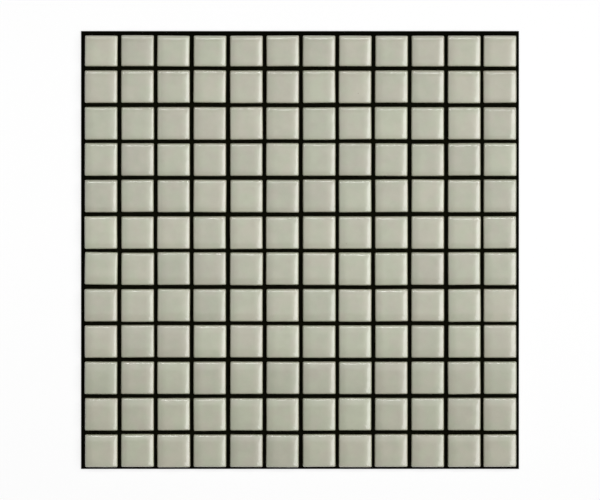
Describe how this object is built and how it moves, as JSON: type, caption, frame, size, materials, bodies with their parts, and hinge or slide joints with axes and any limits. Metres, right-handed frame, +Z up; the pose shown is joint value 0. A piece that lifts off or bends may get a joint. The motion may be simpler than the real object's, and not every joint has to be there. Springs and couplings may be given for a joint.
{
  "type": "mosaic tile sheet",
  "caption": "Flat square sheet of small square glazed ceramic tiles with cushioned edges, set in even rows with open joints on one thin black backing.",
  "frame": {"origin": "middle of the backing's underside, the face that is bedded in adhesive", "axes": "+Z up out of the tiles' glazed faces, +Y towards the back edge (the top of the picture), +X to the right along the rows"},
  "size_m": [0.3024, 0.3024, 0.007],
  "materials": {
    "glazed_tile": "satin",
    "black_backing": "matte"
  },
  "bodies": {
    "root": {"backing_sheet": "black_backing", "tile_row_01": "glazed_tile", "tile_row_02": "glazed_tile", "tile_row_03": "glazed_tile", "tile_row_04": "glazed_tile", "tile_row_05": "glazed_tile", "tile_row_06": "glazed_tile", "tile_row_07": "glazed_tile", "tile_row_08": "glazed_tile", "tile_row_09": "glazed_tile", "tile_row_10": "glazed_tile", "tile_row_11": "glazed_tile", "tile_row_12": "glazed_tile"}
  },
  "joints": []
}
